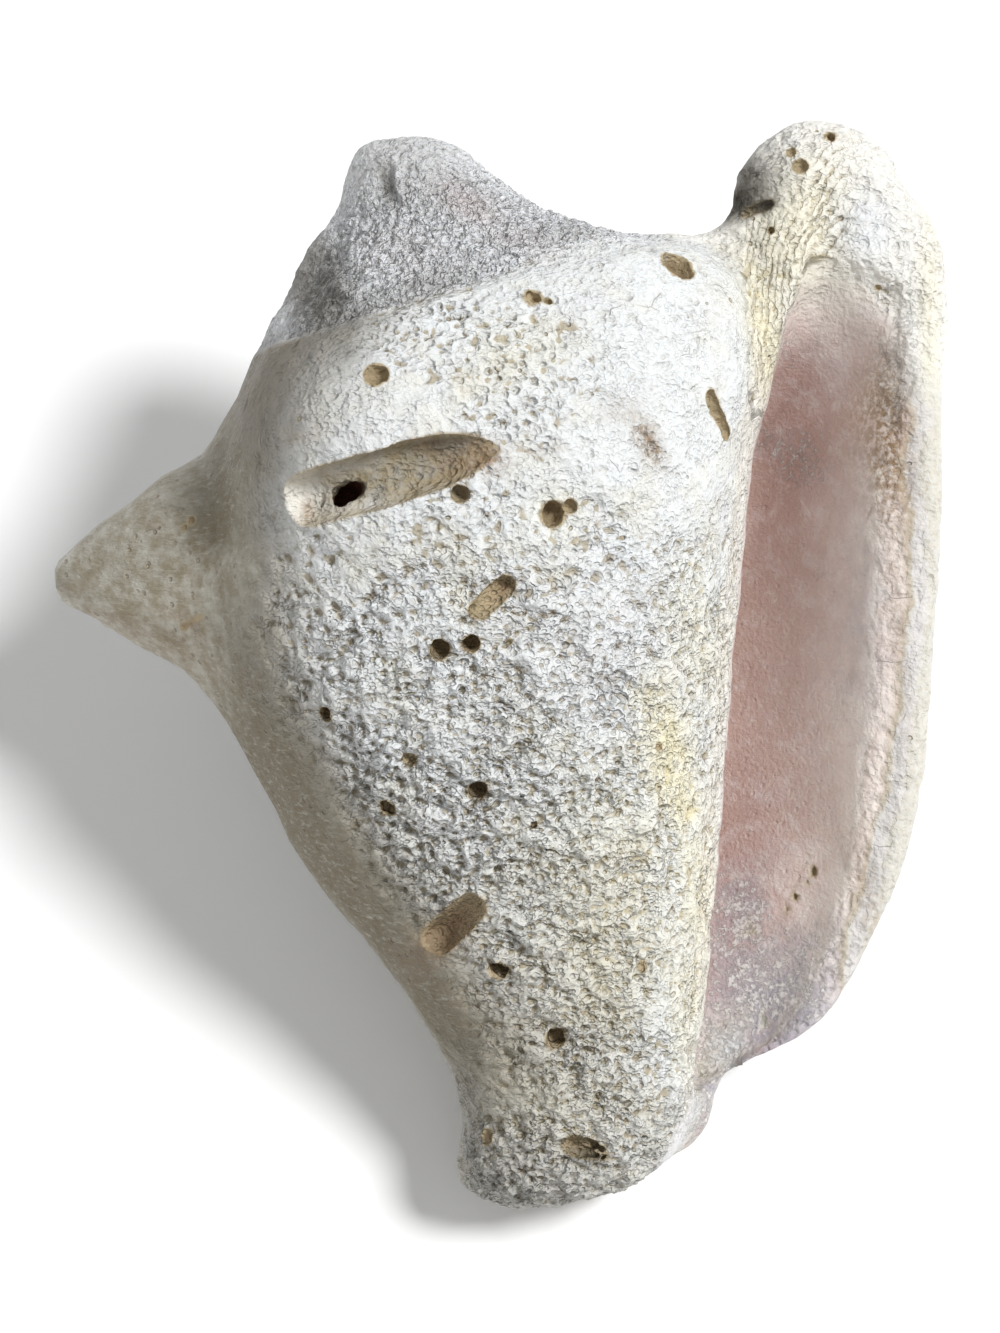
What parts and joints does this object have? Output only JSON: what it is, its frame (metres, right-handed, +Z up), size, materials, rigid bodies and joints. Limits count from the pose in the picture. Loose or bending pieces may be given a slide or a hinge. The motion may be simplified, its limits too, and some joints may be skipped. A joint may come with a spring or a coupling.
{
  "type": "fossil conch shell",
  "caption": "Wave-worn conch shell lying on its back, with a shoulder spine, a low spire, a lobed outer lip, a long open mouth and borings across its front.",
  "frame": {"origin": "middle of the shell's box at the height of the plane it rests on", "axes": "+Z up, out of the side that the mouth is on; +Y towards the apex of the spire; +X towards the outer lip"},
  "size_m": [0.1648, 0.1878, 0.115],
  "materials": {
    "shell": "matt, sea-worn shell lime, chalky white with pitted and bored areas, grey on the spine, a sugary spire, and smoother faded pink inside the mouth"
  },
  "bodies": {
    "root": {"shell": "shell"}
  },
  "joints": []
}
